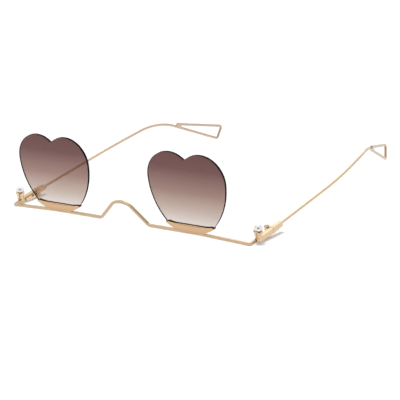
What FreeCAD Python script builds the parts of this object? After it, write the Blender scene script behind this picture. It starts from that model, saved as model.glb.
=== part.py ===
import FreeCAD, Part
import math
import os

# Heart shaped sunglasses, standing open on a table on the front bar and the temple loops.
# Millimetres and degrees. +Z is up, +X is the wearer's left, +Y runs from the front to the temple tips.

# Front wire: one square wire bent into a bar, a nose arch and a return leg at each end
bar_half_width = 70.0
bar_level_half = 42.0
bar_droop = 1.15
front_wire_size = 1.4
front_wire_rounding = 0.3
droop_bend_radius = 120.0
end_bend_inner_radius = 0.12
arch_half_width = 14.2
arch_shoulder_half_width = 4.6
arch_shoulder_height = 9.6
arch_crown = 1.05
arch_lean = 13.0
arch_foot_radius = 2.8
arch_shoulder_radius = 5.0
arch_crown_radius = 9.0
end_leg = 4.0
leg_socket = 1.0

# Heart lenses, drawn in the lens plane with heights from the middle of the bar
lens_gap = 35.3
lens_forward = 0.95
lens_lean = 4.8
lens_thickness = 1.3
lobe_radius = 12.8
lobe_offset = 8.6
lobe_height = 25.75
cleft_radius = 0.8
foot_inset = 0.1

# Lens shoes and their dark liners
shoe_half_length = 13.3
shoe_rise = 4.0
shoe_middle_height = 3.75
shoe_shoulder_height = 4.7
shoe_tip_length = 1.2
shoe_tip_height = 0.3
shoe_lip = 0.3
shoe_web = 0.15
liner_thickness = 0.15
liner_reveal = 0.2
fit_clearance = 0.02

# Endpieces and hinges
temple_rise = 8.0
temple_drop = 0.35
endpiece_offset = 0.85
endpiece_length = 12.7
endpiece_width = 2.2
endpiece_front_height = 1.9
endpiece_rounding = 0.8
hinge_height = 2.8
hinge_seam = 0.1
knuckle_radius = 1.15
knuckle_play = 0.05
knuckle_gap = 0.2
hinge_plate_length = 7.8
hinge_plate_thickness = 0.8
hinge_plate_rise = 0.6
hinge_plate_drop = 2.2
hinge_slot_lead = 3.9
hinge_slot_length = 1.5
hinge_slot_height = 0.75
screw_radius = 0.5
screw_clearance = 0.03
screw_head_radius = 1.3
screw_head_height = 0.65
screw_slot_width = 0.3
screw_slot_depth = 0.3

# Pearls, on pegs in pronged cups
pearl_radius = 2.0
cup_stem = 2.2
cup_wall = 0.2
cup_prong_drop = 0.95
cup_prong_length = 0.55
cup_foot_radius = 1.45
cup_waist_radius = 1.65
cup_waist_height = 1.1
cup_scallop_radius = 1.3
cup_scallop_depth = 0.5
cup_groove_radius = 0.22
pearl_seat_clearance = 0.03
peg_radius = 0.4
peg_wall = 0.35
peg_anchor = 1.2
peg_reach = 0.3

# Temple leaves and wires; bends turn inward towards the head, rises are from the hinge's line
leaf_length = 8.2
leaf_bulge_above = 0.3
leaf_bulge_below = 0.1
leaf_wall = 0.25
leaf_rounding = 0.4
temple_wire_radius = 0.7
wire_socket = 4.0
straight_run = 63.2
inward_run = 31.8
inward_run_turn = 6.0
inward_run_rise = 1.4
ear_straight = 0.4
ear_run_turn = 20.0
ear_run_rise = -12.1
loop_run = 39.7
loop_run_turn = 15.3
loop_run_rise = -30.6
loop_back = 7.6
loop_back_turn = 21.0
loop_back_rise = 59.0
loop_closes_at = 7.0
loop_corner_radius = 1.3
inward_bend_radius = 290.0
ear_bend_radius = 38.0
loop_bend_radius = 29.0
joint_length = 3.2
joint_inset = 0.1
joint_gap = 0.1

Vec = FreeCAD.Vector
ORIGIN = Vec(0, 0, 0)
X_AXIS = Vec(1, 0, 0)
Z_AXIS = Vec(0, 0, 1)

# Edges match a place within the tolerance; a rounding takes at most its share of a half width
TOLERANCE = 0.001
FILLET_SHARE = 0.9

half_wire = front_wire_size / 2
lens_spread = lens_gap / 2 + lobe_offset + lobe_radius
shoe_wall = half_wire + shoe_web
liner_half = lens_thickness / 2 + liner_thickness
shoe_half = liner_half + shoe_lip
hinge_inset = endpiece_width / 2 + knuckle_gap + knuckle_radius
half_hinge = hinge_height / 2
knuckle_height = (hinge_height - 2 * knuckle_play) / 3
cup_inset = leg_socket + peg_wall + peg_radius
pearl_lift = cup_stem + pearl_radius
cup_rim_radius = pearl_radius + cup_wall
cup_prong_height = pearl_lift - cup_prong_drop
cup_rim_height = cup_prong_height - cup_prong_length


def leaning(angle):
    """The upward direction of a plane through the bar that leans forward by the angle."""
    return Vec(0, -math.sin(math.radians(angle)), math.cos(math.radians(angle)))


temple_up = leaning(temple_rise)
temple_along = temple_up.cross(X_AXIS)
arch_up = leaning(arch_lean)
bar_level = arch_up * bar_droop
end_corner = X_AXIS * bar_half_width
hinge_spot = (
    end_corner
    + X_AXIS * endpiece_offset
    + temple_along * (end_leg + endpiece_length)
    - temple_up * temple_drop
)
lens_spot = bar_level + Vec(lens_spread, -lens_forward, 0)


def place(shape, tilt, spot):
    """Tilts a shape about the left-right axis and moves it to its spot."""
    shape.rotate(ORIGIN, X_AXIS, tilt)
    shape.translate(spot)
    return shape


def hinge_point(x, along, up):
    """A point of the hinge's own frame, in the model's frame."""
    return hinge_spot + X_AXIS * x + temple_along * along + temple_up * up


def line(start, end):
    return Part.LineSegment(start, end).toShape()


def arc(start, middle, end):
    return Part.Arc(start, middle, end).toShape()


def bend_reach(radius, before, after):
    """How far a tangent arc reaches along the two runs from the corner that it rounds."""
    return radius * math.tan(before.getAngle(after) / 2)


def bent_route(points, radii):
    """Straight runs through the points, joined by tangent arcs of the given radii."""
    edges = []
    start = points[0]
    for before, corner, after, radius in zip(points, points[1:], points[2:], radii):
        back = (before - corner).normalize()
        onward = (after - corner).normalize()
        reach = bend_reach(radius, back * -1, onward)
        centre = corner + (back + onward).normalize() * math.hypot(radius, reach)
        middle = centre + (corner - centre).normalize() * radius
        edges.append(line(start, corner + back * reach))
        edges.append(arc(corner + back * reach, middle, corner + onward * reach))
        start = corner + onward * reach
    edges.append(line(start, points[-1]))
    return Part.Wire(edges)


def rounded_square(centre, across, up, size, rounding):
    """A closed square outline with rounded corners."""
    half = size / 2
    inner = half - rounding
    diagonal = inner + rounding * math.sqrt(0.5)
    corners = []
    for sx, sy in ((1, 1), (-1, 1), (-1, -1), (1, -1)):
        ends = [(sx * half, sy * inner), (sx * inner, sy * half)]
        if sx * sy < 0:
            ends.reverse()
        spots = [ends[0], (sx * diagonal, sy * diagonal), ends[1]]
        corners.append([centre + across * x + up * y for x, y in spots])
    edges = []
    for corner, following in zip(corners, corners[1:] + corners[:1]):
        edges.append(arc(*corner))
        edges.append(line(corner[2], following[0]))
    return Part.Wire(edges)


def front_wire():
    """The bar, nose arch and return legs, as one bent square wire."""
    shoulder = bar_level + arch_up * arch_shoulder_height
    crown = shoulder + arch_up * arch_crown
    half = [
        end_corner + temple_along * (end_leg + leg_socket),
        end_corner,
        X_AXIS * bar_level_half + bar_level,
        X_AXIS * arch_half_width + bar_level,
        X_AXIS * arch_shoulder_half_width + shoulder,
    ]
    end_bend_radius = half_wire + end_bend_inner_radius
    radii = [end_bend_radius, droop_bend_radius, arch_foot_radius, arch_shoulder_radius]
    other_half = [Vec(-point.x, point.y, point.z) for point in reversed(half)]
    section = rounded_square(half[0], X_AXIS, temple_up, front_wire_size, front_wire_rounding)
    path = bent_route(half + [crown] + other_half, radii + [arch_crown_radius] + radii[::-1])
    return path.makePipeShell([section], True, False)


def plate(edges, half_thickness):
    """A flat solid from an outline in the XZ plane, centred on that plane."""
    face = Part.Face(Part.Wire(edges))
    face.translate(Vec(0, -half_thickness, 0))
    return face.extrude(Vec(0, 2 * half_thickness, 0))


def groove_floor(raised, half):
    """Heights of the groove's floor in its middle and at the half length, raised by a little."""
    rise = shoe_rise + shoe_tip_height - shoe_wall
    radius = (shoe_half_length ** 2 + rise ** 2) / (2 * rise)
    middle = shoe_wall + raised
    return middle, middle + radius - math.sqrt(radius ** 2 - half ** 2)


def heart_lens(grow):
    """A heart plate whose foot is cut to stand in its shoe."""
    drop = lobe_height - shoe_shoulder_height
    narrowing = lobe_offset + lobe_radius - shoe_half_length + foot_inset
    side_radius = (drop ** 2 + narrowing ** 2) / (2 * narrowing)
    side_centre = lobe_offset + lobe_radius - side_radius
    side_reach = side_radius + grow
    side_end = side_centre + math.sqrt(side_reach ** 2 - drop ** 2)
    foot_middle, foot_end = groove_floor(liner_thickness - grow, side_end)
    radius = lobe_radius + grow
    cleft = lobe_height + math.sqrt((radius + cleft_radius) ** 2 - lobe_offset ** 2)
    touch = radius / (radius + cleft_radius)
    points = [
        (lobe_offset * (1 - touch), lobe_height + (cleft - lobe_height) * touch),
        (lobe_offset, lobe_height + radius),
        (lobe_offset + radius, lobe_height),
        (side_centre + math.sqrt(side_reach ** 2 - drop ** 2 / 4), lobe_height - drop / 2),
        (side_end, shoe_shoulder_height),
        (side_end, foot_end),
    ]
    left = [Vec(x, 0, z) for x, z in points]
    right = [Vec(-x, 0, z) for x, z in points]
    edges = [
        arc(right[0], Vec(0, 0, cleft - cleft_radius), left[0]),
        arc(left[0], left[1], left[2]),
        arc(left[2], left[3], left[4]),
        line(left[4], left[5]),
        arc(left[5], Vec(0, 0, foot_middle), right[5]),
        line(right[5], right[4]),
        arc(right[4], right[3], right[2]),
        arc(right[2], right[1], right[0]),
    ]
    return plate(edges, lens_thickness / 2 + grow)


def crescent(half, low_middle, low_end, raised, half_thickness):
    """A plate from a lower arc up to the shoe's upper edge, which slopes down to its two tips."""
    points = [
        (half, low_end),
        (half, shoe_rise + shoe_tip_height + raised),
        (half - shoe_tip_length, shoe_shoulder_height + raised),
    ]
    left = [Vec(x, 0, z) for x, z in points]
    right = [Vec(-x, 0, z) for x, z in points]
    edges = [
        arc(right[0], Vec(0, 0, low_middle), left[0]),
        line(left[0], left[1]),
        line(left[1], left[2]),
        arc(left[2], Vec(0, 0, shoe_middle_height + raised), right[2]),
        line(right[2], right[1]),
        line(right[1], right[0]),
    ]
    return plate(edges, half_thickness)


def in_lens_plane(shape):
    return place(shape, lens_lean, lens_spot)


def lens_liner():
    """The dark strip under the foot of the lens and up its two faces, just above the shoe's lips."""
    half = shoe_half_length
    strip = crescent(half, *groove_floor(0, half), liner_reveal, liner_half)
    return in_lens_plane(strip.cut(heart_lens(fit_clearance)))


def lens_shoe(bar):
    """The crescent channel, open at its tips and notched to sit on the bar with a thin web."""
    half = shoe_half_length + fit_clearance
    groove = crescent(half, *groove_floor(-fit_clearance, half), liner_reveal, liner_half + fit_clearance)
    channel = crescent(shoe_half_length, 0, shoe_rise, 0, shoe_half)
    return in_lens_plane(channel.cut(groove)).cut(bar)


def block(outline, half_width):
    """A solid from an outline of (along, up) points in the hinge's frame, across its width."""
    points = [Vec(-half_width, along, up) for along, up in outline]
    face = Part.Face(Part.makePolygon(points + points[:1]))
    return face.extrude(Vec(2 * half_width, 0, 0))


def rounded_ends(shape, along, half_width, rounding):
    """Rounds the two upright edges of a block at its end."""
    upright = []
    for edge in shape.Edges:
        spot = edge.CenterOfMass
        level = abs(edge.Vertexes[0].Y - along) + abs(edge.Vertexes[-1].Y - along)
        if level < TOLERANCE and abs(abs(spot.x) - half_width) < TOLERANCE:
            upright.append(edge)
    return shape.makeFillet(min(rounding, half_width * FILLET_SHARE), upright)


def knuckle(number, side):
    """A hinge knuckle, counted from below, and the web that ties it to its half of the hinge."""
    foot = -half_hinge + number * (knuckle_height + knuckle_play)
    barrel = Part.makeCylinder(knuckle_radius, knuckle_height, Vec(-hinge_inset, 0, foot))
    web_depth = knuckle_radius - hinge_seam / 2
    web_start = hinge_seam / 2 if side > 0 else -knuckle_radius
    web = Part.makeBox(hinge_inset, web_depth, knuckle_height, Vec(-hinge_inset, web_start, foot))
    return barrel.fuse(web)


def hinge_plate():
    """The slotted plate in front of the knuckles on an endpiece's inner side, level along its foot."""
    end = -knuckle_radius
    start = end - hinge_plate_length
    foot_rise = hinge_plate_length * math.tan(math.radians(temple_rise))
    outline = [
        (start, foot_rise - hinge_plate_drop),
        (end, -hinge_plate_drop),
        (end, hinge_plate_rise),
        (start, hinge_plate_rise),
    ]
    corner = Vec(-hinge_plate_thickness / 2, -hinge_slot_lead - hinge_slot_length / 2, -hinge_slot_height / 2)
    slot = Part.makeBox(hinge_plate_thickness, hinge_slot_length, hinge_slot_height, corner)
    shape = block(outline, hinge_plate_thickness / 2).cut(slot)
    shape.translate(X_AXIS * (-(endpiece_width + hinge_plate_thickness) / 2))
    return shape


def screw_bore():
    return Part.makeCylinder(
        screw_radius + screw_clearance, 2 * hinge_height, Vec(-hinge_inset, 0, -hinge_height)
    )


def endpiece(wire, peg_hole):
    """The front half of the hinge: a wedge on the return leg, with a plate and the outer two knuckles."""
    half_width = endpiece_width / 2
    seam = -hinge_seam / 2
    outline = [
        (-endpiece_length, half_hinge - endpiece_front_height),
        (seam, -half_hinge),
        (seam, half_hinge),
        (-endpiece_length, half_hinge),
    ]
    body = rounded_ends(block(outline, half_width), -endpiece_length, half_width, endpiece_rounding)
    body = body.fuse([hinge_plate(), knuckle(0, -1), knuckle(2, -1)]).removeSplitter().cut(screw_bore())
    return place(body, temple_rise, hinge_spot).cut([wire, peg_hole])


def temple_leaf(wire):
    """The rear half of the hinge: a rounded leaf with the middle knuckle and the wire's socket."""
    half_width = endpiece_width / 2
    seam = hinge_seam / 2
    end = leaf_length
    middle = (seam + end) / 2
    end_half = temple_wire_radius + leaf_wall
    middle_half = (half_hinge + end_half) / 2
    low_start = Vec(-half_width, seam, -half_hinge)
    high_start = Vec(-half_width, seam, half_hinge)
    low_end = Vec(-half_width, end, -end_half)
    high_end = Vec(-half_width, end, end_half)
    edges = [
        line(low_start, high_start),
        arc(high_start, Vec(-half_width, middle, middle_half + leaf_bulge_above), high_end),
        line(high_end, low_end),
        arc(low_end, Vec(-half_width, middle, -middle_half - leaf_bulge_below), low_start),
    ]
    body = Part.Face(Part.Wire(edges)).extrude(Vec(endpiece_width, 0, 0))
    body = rounded_ends(body, end, half_width, leaf_rounding)
    body = body.fuse(knuckle(1, 1)).removeSplitter().cut(screw_bore())
    return place(body, temple_rise, hinge_spot).cut(wire)


def hinge_screw():
    """A star-slotted screw through the three knuckles."""
    shank = Part.makeCylinder(screw_radius, hinge_height, Vec(-hinge_inset, 0, -half_hinge))
    head = Part.makeCylinder(screw_head_radius, screw_head_height, Vec(-hinge_inset, 0, half_hinge))
    slot_floor = half_hinge + screw_head_height - screw_slot_depth
    reach = 2 * screw_head_radius
    corner = Vec(-reach, -screw_slot_width / 2, slot_floor)
    slots = []
    for turn in (0, 60, 120):
        slot = Part.makeBox(2 * reach, screw_slot_width, reach, corner)
        slot.rotate(ORIGIN, Z_AXIS, turn)
        slot.translate(X_AXIS * -hinge_inset)
        slots.append(slot)
    return place(shank.fuse(head).cut(slots), temple_rise, hinge_spot)


def cup_spot():
    """The middle of the pearl cup's foot, on top of the endpiece."""
    return hinge_point(0, cup_inset - endpiece_length, half_hinge)


def peg(grow):
    """The pin through endpiece, cup and pearl, or with some growth the hole for it."""
    foot = cup_spot() - Z_AXIS * (peg_anchor + grow)
    length = peg_anchor + pearl_lift + peg_reach + 2 * grow
    return Part.makeCylinder(peg_radius + grow, length, foot)


def pearl(peg_hole):
    ball = Part.makeSphere(pearl_radius, cup_spot() + Z_AXIS * pearl_lift)
    return ball.cut(peg_hole)


def pearl_cup(base, wire, peg_hole):
    """A flared cup with four prongs, scalloped between them and grooved below each scallop."""
    foot_depth = 2 * cup_foot_radius * math.tan(math.radians(temple_rise))
    waist = Vec(cup_waist_radius, 0, cup_waist_height)
    foot = Vec(cup_foot_radius, 0, -foot_depth)
    rim = Vec(cup_rim_radius, 0, cup_rim_height)
    outline = [
        line(Vec(0, 0, foot.z), foot),
        arc(foot, waist, rim),
        line(rim, Vec(cup_rim_radius, 0, cup_prong_height)),
        line(Vec(cup_rim_radius, 0, cup_prong_height), Vec(0, 0, cup_prong_height)),
        line(Vec(0, 0, cup_prong_height), Vec(0, 0, foot.z)),
    ]
    cup = Part.Face(Part.Wire(outline)).revolve(ORIGIN, Z_AXIS, 360)
    cuts = [Part.makeSphere(pearl_radius + pearl_seat_clearance, Z_AXIS * pearl_lift)]
    scallop = Z_AXIS * (cup_prong_height + cup_scallop_radius - cup_scallop_depth)
    for quarter in range(4):
        turn = FreeCAD.Rotation(Z_AXIS, 45 + 90 * quarter)
        outward = turn.multVec(X_AXIS)
        cuts.append(Part.makeCylinder(cup_scallop_radius, 2 * cup_rim_radius, scallop, outward))
        groove_foot = outward * waist.x
        groove_top = outward * rim.x + Z_AXIS * rim.z
        groove = groove_top - groove_foot
        cuts.append(Part.makeCylinder(cup_groove_radius, groove.Length, groove_foot, groove))
    cup = cup.cut(cuts)
    cup.translate(cup_spot())
    return cup.cut([base, wire, peg_hole])


def heading(turn, rise):
    """A direction in the hinge's frame, turned inward and raised from the temple's line."""
    turn = math.radians(turn)
    rise = math.radians(rise)
    return (
        X_AXIS * (-math.sin(turn) * math.cos(rise))
        + temple_along * (math.cos(turn) * math.cos(rise))
        + temple_up * math.sin(rise)
    )


def temple_route():
    """The bends of the temple wire, from its socket to the cut end that closes the loop."""
    inward_way = heading(inward_run_turn, inward_run_rise)
    ear_way = heading(ear_run_turn, ear_run_rise)
    lower_way = heading(loop_run_turn, loop_run_rise)
    ear_run = ear_straight + bend_reach(ear_bend_radius, inward_way, ear_way)
    ear_run += bend_reach(loop_bend_radius, ear_way, lower_way)
    socket = hinge_point(0, leaf_length - wire_socket, 0)
    inward_bend = hinge_point(0, straight_run, 0)
    ear_bend = inward_bend + inward_way * inward_run
    loop_start = ear_bend + ear_way * ear_run
    lower_corner = loop_start + lower_way * loop_run
    upper_corner = lower_corner + heading(loop_back_turn, loop_back_rise) * loop_back
    closing = loop_start + lower_way * loop_closes_at
    across = upper_corner - lower_corner
    across = (across - lower_way * across.dot(lower_way)).normalize()
    cut_end = closing + across * (2 * temple_wire_radius + joint_gap)
    return [socket, inward_bend, ear_bend, loop_start, lower_corner, upper_corner, cut_end]


def temple_wire():
    """The round temple wire with its triangular loop."""
    points = temple_route()
    radii = [
        inward_bend_radius,
        ear_bend_radius,
        loop_bend_radius,
        loop_corner_radius,
        loop_corner_radius,
    ]
    section = Part.Wire(Part.makeCircle(temple_wire_radius, points[0], temple_along))
    return bent_route(points, radii).makePipeShell([section], True, False)


def loop_joint(wire):
    """The solder that fills the groove between the cut end of the wire and the wire beside it."""
    points = temple_route()
    loop_start, lower_corner, cut_end = points[3], points[4], points[6]
    along = (lower_corner - loop_start).normalize()
    closing = loop_start + along * loop_closes_at
    side = along.cross(cut_end - closing).normalize()
    half_side = side * (temple_wire_radius - joint_inset)
    corners = [closing - half_side, closing + half_side, cut_end + half_side, cut_end - half_side]
    face = Part.Face(Part.makePolygon(corners + corners[:1]))
    return face.extrude(along * joint_length).cut(wire)


def mirrored(shape):
    return shape.mirror(ORIGIN, X_AXIS)


bar = front_wire()
peg_hole = peg(fit_clearance)
left_endpiece = endpiece(bar, peg_hole)
left_temple_wire = temple_wire()
left_pieces = {
    "lens": in_lens_plane(heart_lens(0)),
    "lens_shoe": lens_shoe(bar),
    "lens_liner": lens_liner(),
    "endpiece": left_endpiece,
    "hinge_screw": hinge_screw(),
    "pearl_cup": pearl_cup(left_endpiece, bar, peg_hole),
    "pearl": pearl(peg_hole),
    "pearl_peg": peg(0),
    "temple_leaf": temple_leaf(left_temple_wire),
    "temple_wire": left_temple_wire,
    "loop_joint": loop_joint(left_temple_wire),
}

pieces = {"front_wire": bar}
for name, shape in left_pieces.items():
    pieces["left_" + name] = shape
    pieces["right_" + name] = mirrored(shape)

# The origin is the middle of the footprint, on the table
box = Part.makeCompound(list(pieces.values())).optimalBoundingBox(False, False)
to_origin = Vec(0, -(box.YMin + box.YMax) / 2, -box.ZMin)

os.makedirs("parts", exist_ok=True)
for name, shape in pieces.items():
    shape.translate(to_origin)
    shape.exportStep("parts/" + name + ".step")
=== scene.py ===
import math

import bpy
from mathutils import Matrix, Vector


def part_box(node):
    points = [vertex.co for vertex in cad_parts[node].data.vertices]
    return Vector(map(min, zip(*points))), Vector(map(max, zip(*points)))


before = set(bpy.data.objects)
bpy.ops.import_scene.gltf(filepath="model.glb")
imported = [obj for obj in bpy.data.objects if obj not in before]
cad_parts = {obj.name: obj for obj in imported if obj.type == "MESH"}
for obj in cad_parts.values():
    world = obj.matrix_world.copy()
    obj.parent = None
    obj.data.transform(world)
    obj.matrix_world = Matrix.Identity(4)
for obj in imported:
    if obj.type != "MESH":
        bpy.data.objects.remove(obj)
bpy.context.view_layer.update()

MM = 0.001
SIDES = ("left", "right")

# Camera, in millimetres and degrees of the part's frame
camera_spot = (403.8, -578.4, 199.4)
camera_aim = (17.52, -40.88, 4.71)
camera_roll = -2.76
camera_focal = 128.4
camera_sensor = 36.0

# Studio, in metres, watts and degrees; a level or glow of 1 is white
floor_size = 6.0
floor_drop = 0.2 * MM
floor_glow = 0.25
floor_fade = (0.15, 0.9)
floor_mirror_glow = 0.2
floor_albedo = 0.8
fill_level = 0.35
lamps = {
    "softbox": {"spot": (-0.12, 0.0, 0.92), "size": 0.4, "power": 6.0, "mirrored": False},
    "back_light": {"spot": (-0.25, 0.72, 0.57), "size": 0.5, "power": 0.6, "mirrored": True},
}
tent_gaps = (
    {"way": Vector(camera_spot) - Vector(camera_aim), "level": 0.15, "inner": 16.0, "outer": 44.0},
    {"way": Vector((0.5, 0.64, 0.59)), "level": 0.5, "inner": 8.0, "outer": 22.0},
)

# Gold, in linear colour; a fineness is in specks to the metre
gold_pale = (0.63, 0.47, 0.312, 1)
gold_deep = (0.58, 0.425, 0.275, 1)
# Temple gold with a painted highlight: pale near the hinge, deep towards the loop
temple_pale = (0.81, 0.625, 0.427, 1)
temple_deep = (0.593, 0.45, 0.335, 1)
# Painted light: a paler copy of the same gold for the endpieces, leaves, screws and pearl cups
painted_lit_pale = (0.79, 0.595, 0.39, 1)
painted_lit_deep = (0.74, 0.545, 0.345, 1)
# Rose gold for the lens shoes; painted shade takes it from the deep tone at the shoe's foot to the pale
# tone at its top
rose_pale = (0.70, 0.47, 0.28, 1)
rose_deep = (0.54, 0.34, 0.20, 1)
shoe_painted_shade = ("Z", 1.8 * MM, 4.2 * MM)
temple_painted_highlight = ("Y", 50 * MM, -20 * MM)
# Painted shade: the gold turns brown where ambient occlusion finds it sheltered, in crevices, hollows and
# between parts; the cup's brown is lighter
painted_shade_brown = (0.10, 0.06, 0.03, 1)
cup_painted_shade_brown = (0.30, 0.19, 0.10, 1)
painted_shade_reach = 0.7 * MM
painted_shade_shelter = (0.35, 0.85)
gold_roughness = (0.2, 0.3)
cloud_fineness = 260.0
cloud_share = 0.25
rub_fineness = 4200.0
rub_strength = 0.02
rub_depth = 0.02 * MM

# Lenses, with the tint from the foot of a lens to its top and the lean in degrees
tint_stops = (
    (0.0, (0.80, 0.76, 0.75, 1)),
    (0.25, (0.53, 0.43, 0.375, 1)),
    (0.5, (0.32, 0.203, 0.174, 1)),
    (0.8, (0.157, 0.075, 0.073, 1)),
    (1.0, (0.135, 0.06, 0.056, 1)),
)
lens_ior = 1.3
lens_lean = 4.8
face_limit = 0.8
edge_colour = (0.012, 0.009, 0.009, 1)
edge_roughness = 0.6

# Liners and pearls
liner_dark = (0.03, 0.009, 0.001, 1)
liner_worn = (0.06, 0.02, 0.004, 1)
liner_fineness = 3000.0
pearl_white = (0.96, 0.955, 0.945, 1)
pearl_shade = (0.80, 0.79, 0.79, 1)
nacre_fineness = 700.0
nacre_cloud_share = 0.2

# Softened edges: their widths, and the angles in degrees that count as sharp and as flat
edge_widths = {
    "endpiece": 0.12 * MM,
    "temple_leaf": 0.12 * MM,
    "lens_shoe": 0.08 * MM,
    "hinge_screw": 0.08 * MM,
    "lens": 0.1 * MM,
}
edge_segments = 2
sharp_edge = 35
flat_face = 1
weld_reach = 0.001 * MM

# Pieces whose shadow on the floor is left to the fill light, besides the front wire
unshadowed = ("lens", "lens_shoe", "lens_liner", "temple_wire", "loop_joint")


class Nodes:
    """A node tree with short ways to add and join nodes."""

    def __init__(self, tree):
        self.tree = tree
        tree.nodes.clear()

    def add(self, kind, inputs=None, **settings):
        node = self.tree.nodes.new(kind)
        for name, value in settings.items():
            setattr(node, name, value)
        for name, value in (inputs or {}).items():
            socket = node.inputs[name]
            if isinstance(value, bpy.types.NodeSocket):
                self.tree.links.new(value, socket)
            else:
                socket.default_value = value
        return node

    def ramp(self, factor, stops):
        node = self.add("ShaderNodeValToRGB", {"Fac": factor})
        elements = node.color_ramp.elements
        while len(elements) < len(stops):
            elements.new(1.0)
        for element, (place, colour) in zip(elements, stops):
            element.position = place
            element.color = colour
        return node.outputs["Color"]

    def math(self, operation, a, b=0.0):
        node = self.add("ShaderNodeMath", {0: a, 1: b}, operation=operation)
        return node.outputs[0]

    def dot(self, a, b):
        node = self.add("ShaderNodeVectorMath", {0: a, 1: b}, operation="DOT_PRODUCT")
        return node.outputs["Value"]

    def spread(self, value, low, high, to_low=0.0, to_high=1.0, **settings):
        """A number that goes from to_low to to_high as the value goes from low to high."""
        node = self.add("ShaderNodeMapRange", {
            "Value": value,
            "From Min": low,
            "From Max": high,
            "To Min": to_low,
            "To Max": to_high,
        }, **settings)
        return node.outputs[0]

    def noise(self, place, scale, detail=2.0):
        node = self.add("ShaderNodeTexNoise", {"Vector": place, "Scale": scale, "Detail": detail})
        return node.outputs["Fac"]

    def blend(self, factor, a, b):
        """A number between a and b."""
        node = self.add("ShaderNodeMix", {0: factor, 2: a, 3: b}, data_type="FLOAT")
        return node.outputs[0]

    def mix(self, factor, a, b):
        """A colour between a and b."""
        node = self.add("ShaderNodeMix", {0: factor, 6: a, 7: b}, data_type="RGBA")
        return node.outputs[2]


def material(name):
    new = bpy.data.materials.new(name)
    new.use_nodes = True
    return new, Nodes(new.node_tree)


def surface(nodes, shader):
    nodes.add("ShaderNodeOutputMaterial", {"Surface": shader.outputs[0]})


def gold(name, pale, deep, painted_fade=None, painted_shade=painted_shade_brown):
    """Polished gold plating with faint clouding, fine rub marks and painted shade that darkens its
    crevices.

    The fade, if given, names an axis and two places on it: painted light and shade pale the gold from the
    first place to the second.
    """
    new, nodes = material(name)
    place = nodes.add("ShaderNodeTexCoord").outputs["Object"]
    cloud = nodes.noise(place, cloud_fineness, detail=3.0)
    # Painted light and shade: along the given axis the gold goes from its deep tone to its pale one, with
    # a quarter of clouding mixed in
    if painted_fade:
        axis, first, second = painted_fade
        along = nodes.add("ShaderNodeSeparateXYZ", {"Vector": place}).outputs[axis]
        cloud = nodes.blend(cloud_share, nodes.spread(along, first, second), cloud)
    plating = nodes.mix(cloud, deep, pale)
    # Painted shade: ambient occlusion within a short reach darkens the gold towards brown
    shelter = nodes.add("ShaderNodeAmbientOcclusion", {"Distance": painted_shade_reach}, samples=8).outputs["AO"]
    unshaded = nodes.spread(shelter, *painted_shade_shelter)
    rub = nodes.noise(place, rub_fineness)
    bump = nodes.add("ShaderNodeBump", {"Height": rub, "Strength": rub_strength, "Distance": rub_depth})
    shader = nodes.add("ShaderNodeBsdfPrincipled", {
        "Base Color": nodes.mix(unshaded, painted_shade, plating),
        "Metallic": 1.0,
        "Roughness": nodes.spread(rub, 0.0, 1.0, *gold_roughness),
        "Normal": bump.outputs[0],
    })
    surface(nodes, shader)
    return new


def lens_tint():
    """A clear lens tinted brown from the top down, with a dark ground edge."""
    new, nodes = material("lens_tint")
    place = nodes.add("ShaderNodeTexCoord").outputs["Object"]
    height = nodes.add("ShaderNodeSeparateXYZ", {"Vector": place}).outputs["Z"]
    low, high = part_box("left_lens")
    tint = nodes.ramp(nodes.spread(height, low[2], high[2]), tint_stops)
    lean = math.radians(lens_lean)
    across = (0.0, math.cos(lean), math.sin(lean))
    normal = nodes.add("ShaderNodeNewGeometry").outputs["True Normal"]
    facing = nodes.dot(normal, across)
    flat = nodes.math("GREATER_THAN", nodes.math("ABSOLUTE", facing), face_limit)
    shader = nodes.add("ShaderNodeBsdfPrincipled", {
        "Base Color": nodes.mix(flat, edge_colour, tint),
        "Roughness": nodes.blend(flat, edge_roughness, 0.0),
        "IOR": lens_ior,
        "Specular IOR Level": nodes.blend(flat, 0.0, 0.5),
        "Transmission Weight": flat,
    })
    surface(nodes, shader)
    return new


def liner():
    """The dark strip in the shoe."""
    new, nodes = material("dark_liner")
    place = nodes.add("ShaderNodeTexCoord").outputs["Object"]
    shader = nodes.add("ShaderNodeBsdfPrincipled", {
        "Base Color": nodes.mix(nodes.noise(place, liner_fineness), liner_dark, liner_worn),
        "Roughness": 0.55,
        "Specular IOR Level": 0.05,
    })
    surface(nodes, shader)
    return new


def pearl():
    """Nacre: white, glossy and faintly clouded."""
    new, nodes = material("pearl_nacre")
    place = nodes.add("ShaderNodeTexCoord").outputs["Object"]
    cloud = nodes.noise(place, nacre_fineness, detail=3.0)
    shade = nodes.math("MULTIPLY", cloud, nacre_cloud_share)
    shader = nodes.add("ShaderNodeBsdfPrincipled", {
        "Base Color": nodes.mix(shade, pearl_white, pearl_shade),
        "Metallic": 0.65,
        "Roughness": 0.14,
        "Coat Weight": 0.4,
        "Coat Roughness": 0.05,
    })
    surface(nodes, shader)
    return new


def dress(node, look):
    """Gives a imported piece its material."""
    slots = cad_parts[node].data.materials
    slots.clear()
    slots.append(look)


def soften(node, width):
    """Takes the sharpness off a piece's edges, as polishing does."""
    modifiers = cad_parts[node].modifiers
    weld = modifiers.new("weld", "WELD")
    weld.merge_threshold = weld_reach
    flat = modifiers.new("flat", "DECIMATE")
    flat.decimate_type = "DISSOLVE"
    flat.angle_limit = math.radians(flat_face)
    bevel = modifiers.new("soft_edges", "BEVEL")
    bevel.width = width
    bevel.segments = edge_segments
    bevel.limit_method = "ANGLE"
    bevel.angle_limit = math.radians(sharp_edge)
    bevel.use_clamp_overlap = False
    even = modifiers.new("even_shading", "WEIGHTED_NORMAL")
    even.weight = 100


def lift_shadow(node):
    """Keeps a piece from shading the floor, where the fill light takes its shadow away."""
    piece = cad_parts[node]
    piece.visible_shadow = False
    piece.visible_diffuse = False


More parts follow.
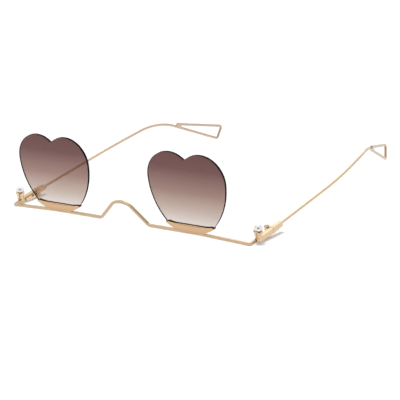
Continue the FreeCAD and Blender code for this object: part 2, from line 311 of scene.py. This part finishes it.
def looks():
    pale_gold = gold("pale_gold", gold_pale, gold_deep)
    temple_gold = gold("temple_gold", temple_pale, temple_deep, temple_painted_highlight)
    # Painted light: the hinge pieces get the paler copy of the gold
    painted_lit_gold = gold("painted_lit_gold", painted_lit_pale, painted_lit_deep)
    cup_gold = gold("cup_gold", painted_lit_pale, painted_lit_deep, painted_shade=cup_painted_shade_brown)
    rose_gold = gold("rose_gold", rose_pale, rose_deep, shoe_painted_shade)
    glass = lens_tint()
    strip = liner()
    nacre = pearl()
    finish = {
        "lens": glass,
        "lens_shoe": rose_gold,
        "lens_liner": strip,
        "endpiece": painted_lit_gold,
        "hinge_screw": painted_lit_gold,
        "pearl_cup": cup_gold,
        "pearl": nacre,
        "pearl_peg": pale_gold,
        "temple_leaf": painted_lit_gold,
        "temple_wire": temple_gold,
        "loop_joint": temple_gold,
    }
    dress("front_wire", pale_gold)
    lift_shadow("front_wire")
    for side in SIDES:
        for piece, look in finish.items():
            dress(side + "_" + piece, look)
        for piece, width in edge_widths.items():
            soften(side + "_" + piece, width)
        for piece in unshadowed:
            lift_shadow(side + "_" + piece)


def studio():
    """A white tent with dark gaps: white where it is seen, plain fill where it lights."""
    world = bpy.data.worlds.new("studio")
    bpy.context.scene.world = world
    world.use_nodes = True
    nodes = Nodes(world.node_tree)
    path = nodes.add("ShaderNodeLightPath").outputs
    seen = nodes.math("MAXIMUM", path["Is Camera Ray"], path["Is Transmission Ray"])
    way = nodes.add("ShaderNodeTexCoord").outputs["Generated"]
    mirrored = 1.0
    for gap in tent_gaps:
        along = gap["way"].normalized()
        toward = nodes.dot(way, along)
        edge = math.cos(math.radians(gap["outer"]))
        core = math.cos(math.radians(gap["inner"]))
        seen_gap = nodes.spread(toward, edge, core, 1.0, gap["level"], interpolation_type="SMOOTHSTEP")
        mirrored = nodes.math("MULTIPLY", seen_gap, mirrored)
    level = nodes.blend(path["Is Glossy Ray"], fill_level, mirrored)
    level = nodes.blend(seen, level, 1.0)
    light = nodes.add("ShaderNodeBackground", {"Color": (1, 1, 1, 1), "Strength": level})
    nodes.add("ShaderNodeOutputWorld", {"Surface": light.outputs[0]})


def floor():
    """A white floor that keeps soft contact shadows."""
    bpy.ops.mesh.primitive_plane_add(size=floor_size, location=(0, 0, -floor_drop))
    plane = bpy.context.object
    plane.name = "floor"
    new, nodes = material("floor_white")
    path = nodes.add("ShaderNodeLightPath").outputs
    seen = nodes.math("MAXIMUM", path["Is Camera Ray"], path["Is Transmission Ray"])
    place = nodes.add("ShaderNodeTexCoord").outputs["Object"]
    distance = nodes.add("ShaderNodeVectorMath", {0: place}, operation="LENGTH").outputs["Value"]
    shown = nodes.spread(distance, *floor_fade, floor_glow, 1.0)
    level = nodes.blend(path["Is Glossy Ray"], 0.0, floor_mirror_glow)
    level = nodes.blend(seen, level, shown)
    glow = nodes.add("ShaderNodeEmission", {"Color": (1, 1, 1, 1), "Strength": level})
    matt = nodes.add("ShaderNodeBsdfDiffuse", {"Color": (floor_albedo, floor_albedo, floor_albedo, 1)})
    both = nodes.add("ShaderNodeAddShader", {0: glow.outputs[0], 1: matt.outputs[0]})
    surface(nodes, both)
    plane.data.materials.append(new)


def area_lamp(name, spot, size, power, mirrored):
    """A square lamp that faces the middle of the floor, and that metal and lenses may mirror."""
    data = bpy.data.lights.new(name, "AREA")
    data.size = size
    data.energy = power
    lamp = bpy.data.objects.new(name, data)
    lamp.visible_glossy = mirrored
    lamp.location = spot
    lamp.rotation_euler = (-Vector(spot)).to_track_quat("-Z", "Y").to_euler()
    bpy.context.collection.objects.link(lamp)


def camera():
    """The camera of the photograph."""
    data = bpy.data.cameras.new("photo")
    data.lens = camera_focal
    data.sensor_width = camera_sensor
    data.clip_start = 0.01
    eye = bpy.data.objects.new("photo", data)
    spot = Vector(camera_spot) * MM
    aim = Vector(camera_aim) * MM
    turn = (aim - spot).to_track_quat("-Z", "Y").to_matrix().to_4x4()
    roll = Matrix.Rotation(math.radians(camera_roll), 4, "Z")
    eye.matrix_world = Matrix.Translation(spot) @ turn @ roll
    bpy.context.collection.objects.link(eye)
    bpy.context.scene.camera = eye


bpy.context.scene.view_settings.view_transform = "Standard"
looks()
studio()
floor()
for name, lamp in lamps.items():
    area_lamp(name, **lamp)
camera()
